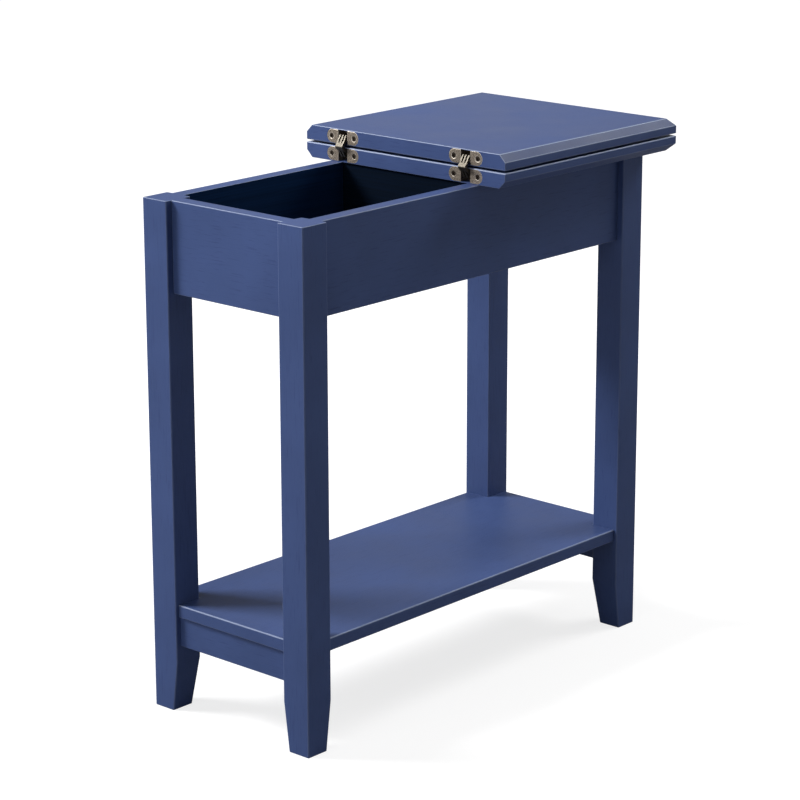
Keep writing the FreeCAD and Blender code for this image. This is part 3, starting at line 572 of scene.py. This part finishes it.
RUB_SPOT = 0.8 * MM                             # scratches of 0.1 mm, drawn as coarser spots to show
RUB_FAINT, RUB_FULL = 0.5, 0.75                 # level of the noise at which a rub starts and is full
# The recess is drawn darker with depth: painted shade.
RECESS_PAINTED_SHADE = "#17120f"
SHADE_TOP, SHADE_DEEP = 0.1, 0.6                # share of the recess's depth where painted shade starts, is full
SCREW_FROM_CENTRE = 17.5 * MM                   # along a cup, from its middle to each screw hole
HEAD_BELOW_FACE = 0.1 * MM
FIXING_SCREWS = (0.12, 0.5, 0.88)               # shares of a fixing cleat's length
SHELF_SCREWS = (0.25, 0.75)                     # shares of a shelf rail's length


def screw_tree():
    """Screws on the points of a mesh: a round head with a cross cut in it, on a plain shank."""
    tree = bpy.data.node_groups.new("cross_recess_screws", "GeometryNodeTree")
    tree.interface.new_socket("Places", in_out="INPUT", socket_type="NodeSocketGeometry")
    for name in ("Head Radius", "Head Height", "Foot Radius", "Dome", "Shank Radius", "Shank Length",
                 "Recess Reach", "Recess Width", "Recess Depth"):
        tree.interface.new_socket(name, in_out="INPUT", socket_type="NodeSocketFloat")
    tree.interface.new_socket("Facing", in_out="INPUT", socket_type="NodeSocketRotation")
    tree.interface.new_socket("Seed", in_out="INPUT", socket_type="NodeSocketInt")
    tree.interface.new_socket("Metal", in_out="INPUT", socket_type="NodeSocketMaterial")
    tree.interface.new_socket("Screws", in_out="OUTPUT", socket_type="NodeSocketGeometry")
    given = add(tree, "NodeGroupInput").outputs

    def maths(operation, first, second):
        return add(tree, "ShaderNodeMath", {"operation": operation}, {0: first, 1: second}).outputs[0]

    # The head hangs below z = 0. Its foot narrows to the foot radius, its top drops to a dome at the rim.
    blank = add(tree, "GeometryNodeMeshCylinder", None,
                {"Vertices": SCREW_SIDES, "Side Segments": 1, "Fill Segments": HEAD_RINGS,
                 "Radius": given["Head Radius"], "Depth": given["Head Height"]})
    spot = add(tree, "ShaderNodeSeparateXYZ", None,
               {0: add(tree, "GeometryNodeInputPosition").outputs[0]}).outputs
    out_squared = maths("ADD", maths("MULTIPLY", spot["X"], spot["X"]),
                        maths("MULTIPLY", spot["Y"], spot["Y"]))
    rim_squared = maths("MULTIPLY", given["Head Radius"], given["Head Radius"])
    on_top = maths("GREATER_THAN", spot["Z"], 0.0)
    drop = maths("MULTIPLY", maths("MULTIPLY", given["Dome"], on_top),
                 maths("DIVIDE", out_squared, rim_squared))
    narrow = maths("MULTIPLY", maths("SUBTRACT", 1.0, on_top),
                   maths("SUBTRACT", 1.0, maths("DIVIDE", given["Foot Radius"], given["Head Radius"])))
    shift = add(tree, "ShaderNodeCombineXYZ", None,
                {"X": maths("MULTIPLY", maths("MULTIPLY", spot["X"], narrow), -1.0),
                 "Y": maths("MULTIPLY", maths("MULTIPLY", spot["Y"], narrow), -1.0),
                 "Z": maths("SUBTRACT", maths("MULTIPLY", given["Head Height"], -0.5), drop)})
    head = add(tree, "GeometryNodeSetPosition", None,
               {"Geometry": blank.outputs["Mesh"], "Offset": shift.outputs[0]})

    # Two crossed bars cut the recess, one a little deeper than the other.
    reach = maths("MULTIPLY", given["Recess Reach"], 2.0)
    deep = maths("MULTIPLY", given["Recess Depth"], 2.0)
    deeper = maths("MULTIPLY", deep, DEEPER_BAR)
    cut = head
    for along, over, down in ((reach, given["Recess Width"], deep), (given["Recess Width"], reach, deeper)):
        size = add(tree, "ShaderNodeCombineXYZ", None, {"X": along, "Y": over, "Z": down})
        bar = add(tree, "GeometryNodeMeshCube", None, {"Size": size.outputs[0]})
        cut = add(tree, "GeometryNodeMeshBoolean", {"operation": "DIFFERENCE"}, {0: cut.outputs[0]})
        tree.links.new(bar.outputs["Mesh"], cut.inputs[1])

    # How deep a point lies in the recess is kept for the painted shade in it.
    clean = add(tree, "GeometryNodeMergeByDistance", None, {"Geometry": cut.outputs[0], "Distance": SLIVER})
    inside_recess = maths("LESS_THAN", out_squared,
                          maths("MULTIPLY", given["Recess Reach"], given["Recess Reach"]))
    depth = maths("DIVIDE", maths("MULTIPLY", spot["Z"], -1.0), given["Recess Depth"])
    marked = add(tree, "GeometryNodeStoreNamedAttribute", {"data_type": "FLOAT", "domain": "POINT"},
                 {"Geometry": clean.outputs[0], "Name": "sunk",
                  "Value": maths("MULTIPLY", inside_recess, depth)})

    # The shank hangs from the foot of the head.
    shank = add(tree, "GeometryNodeMeshCylinder", None,
                {"Vertices": SCREW_SIDES, "Radius": given["Shank Radius"], "Depth": given["Shank Length"]})
    below = maths("MULTIPLY", maths("ADD", given["Shank Length"], given["Head Height"]), -0.5)
    under = maths("SUBTRACT", below, maths("MULTIPLY", given["Head Height"], 0.5))
    lower = add(tree, "ShaderNodeCombineXYZ", None, {"Z": under})
    hung = add(tree, "GeometryNodeTransform", None,
               {"Geometry": shank.outputs["Mesh"], "Translation": lower.outputs[0]})
    whole = add(tree, "GeometryNodeJoinGeometry")
    for part in (hung.outputs[0], marked.outputs[0]):
        tree.links.new(part, whole.inputs[0])

    # Every screw was driven to a turn of its own.
    turn = add(tree, "FunctionNodeRandomValue", {"data_type": "FLOAT"},
               {2: 0.0, 3: math.pi / 2, "Seed": given["Seed"]})
    spin = add(tree, "FunctionNodeAxisAngleToRotation", None, {"Axis": (0, 0, 1), "Angle": turn.outputs[1]})
    facing = add(tree, "FunctionNodeRotateRotation", {"rotation_space": "LOCAL"},
                 {0: given["Facing"], 1: spin.outputs[0]})
    set_out = add(tree, "GeometryNodeInstanceOnPoints", None,
                  {"Points": given["Places"], "Instance": whole.outputs[0], "Rotation": facing.outputs[0]})
    real = add(tree, "GeometryNodeRealizeInstances", None, {"Geometry": set_out.outputs[0]})
    coated = add(tree, "GeometryNodeSetMaterial", None,
                 {"Geometry": real.outputs[0], "Material": given["Metal"]})
    add(tree, "NodeGroupOutput", None, {"Screws": coated.outputs[0]})
    return tree


screws_on_points = screw_tree()


def screws(name, places, facing, sizes, metal, body):
    """Drive a set of screws, heads facing one way, and fix them to a body."""
    start = bpy.data.meshes.new(name + "_places")
    start.from_pydata(places, [], [])
    points = bpy.data.objects.new(name + "_places", start)
    bpy.context.scene.collection.objects.link(points)
    maker = points.modifiers.new("screws", "NODES")
    maker.node_group = screws_on_points
    values = dict(sizes, Facing=facing.to_euler(), Seed=SCREW_SEED, Metal=metal)
    for item in screws_on_points.interface.items_tree:
        if item.in_out == "INPUT" and item.name in values:
            maker[item.identifier] = values[item.name]
    ready = points.evaluated_get(bpy.context.evaluated_depsgraph_get())
    made = bpy.data.meshes.new_from_object(ready)
    bpy.data.objects.remove(points)
    piece = bpy.data.objects.new(name, made)
    bpy.context.scene.collection.objects.link(piece)
    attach(piece, body)


def screw_metal(name, code, lightened, roughness):
    """Coated screw steel: one tone, scuffed lighter in small spots by the driver, with painted shade
    darkening its recess.
    """
    made, tree = new_material(name)
    place = add(tree, "ShaderNodeTexCoord")
    spots = add(tree, "ShaderNodeTexNoise", None,
                {"Vector": place.outputs["Object"], "Scale": 1 / RUB_SPOT, "Detail": 2.0})
    lighten = add(tree, "ShaderNodeMapRange", None,
              {"Value": spots.outputs[0], "From Min": RUB_FAINT, "From Max": RUB_FULL})
    colour = add(tree, "ShaderNodeMix", {"data_type": "RGBA"},
                 {0: lighten.outputs[0], 6: linear(code), 7: linear(lightened)})
    sunk = add(tree, "ShaderNodeAttribute", {"attribute_name": "sunk"})
    recess_shade = add(tree, "ShaderNodeMapRange", None,
                {"Value": sunk.outputs["Fac"], "From Min": SHADE_TOP, "From Max": SHADE_DEEP})
    shaded = add(tree, "ShaderNodeMix", {"data_type": "RGBA"},
                {0: recess_shade.outputs[0], 6: colour.outputs[2], 7: linear(RECESS_PAINTED_SHADE)})
    steel = add(tree, "ShaderNodeBsdfPrincipled", None,
                {"Base Color": shaded.outputs[2], "Metallic": 1.0, "Roughness": roughness})
    add(tree, "ShaderNodeOutputMaterial", None, {"Surface": steel.outputs[0]})
    return made


blackened = screw_metal("blackened_steel", BLACKENED, BLACKENED_RUBBED, BLACKENED_ROUGHNESS)
to_storage_end = Vector((-1, 0, 0)).to_track_quat("Z", "Y")
for leaf, body in (("fixed", "frame"), ("flip", "flip_top")):
    holes = []
    for side in ("right", "left"):
        low_corner, high_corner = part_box("hinge_cup_%s_%s" % (leaf, side))
        middle = (low_corner + high_corner) / 2
        for step in (-SCREW_FROM_CENTRE, SCREW_FROM_CENTRE):
            holes.append((low_corner.x + HEAD_BELOW_FACE, middle.y + step, middle.z))
    screws("hinge_screws_" + leaf, holes, to_storage_end, COUNTERSUNK, blackened, body)


def along_underside(node, axis, shares):
    """Points in line along the underside of a bar, a screw head's height below it."""
    low_corner, high_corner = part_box(node)
    spots = []
    for share in shares:
        spot = (low_corner + high_corner) / 2
        spot[axis] = low_corner[axis] + share * (high_corner[axis] - low_corner[axis])
        spot.z = low_corner.z - PAN_HEAD["Head Height"]
        spots.append(spot)
    return spots


zinc_plated = screw_metal("zinc_plated_steel", ZINC_PLATED, ZINC_PLATED_RUBBED, ZINC_PLATED_ROUGHNESS)
downwards = Vector((0, 0, -1)).to_track_quat("Z", "Y")
under = []
for side in ("right", "left"):
    under += along_underside("fixing_cleat_" + side, 0, FIXING_SCREWS)
for end in ("storage", "fixed"):
    under += along_underside("shelf_rail_%s_end" % end, 1, SHELF_SCREWS)
screws("leaf_and_shelf_screws", under, downwards, PAN_HEAD, zinc_plated, "frame")
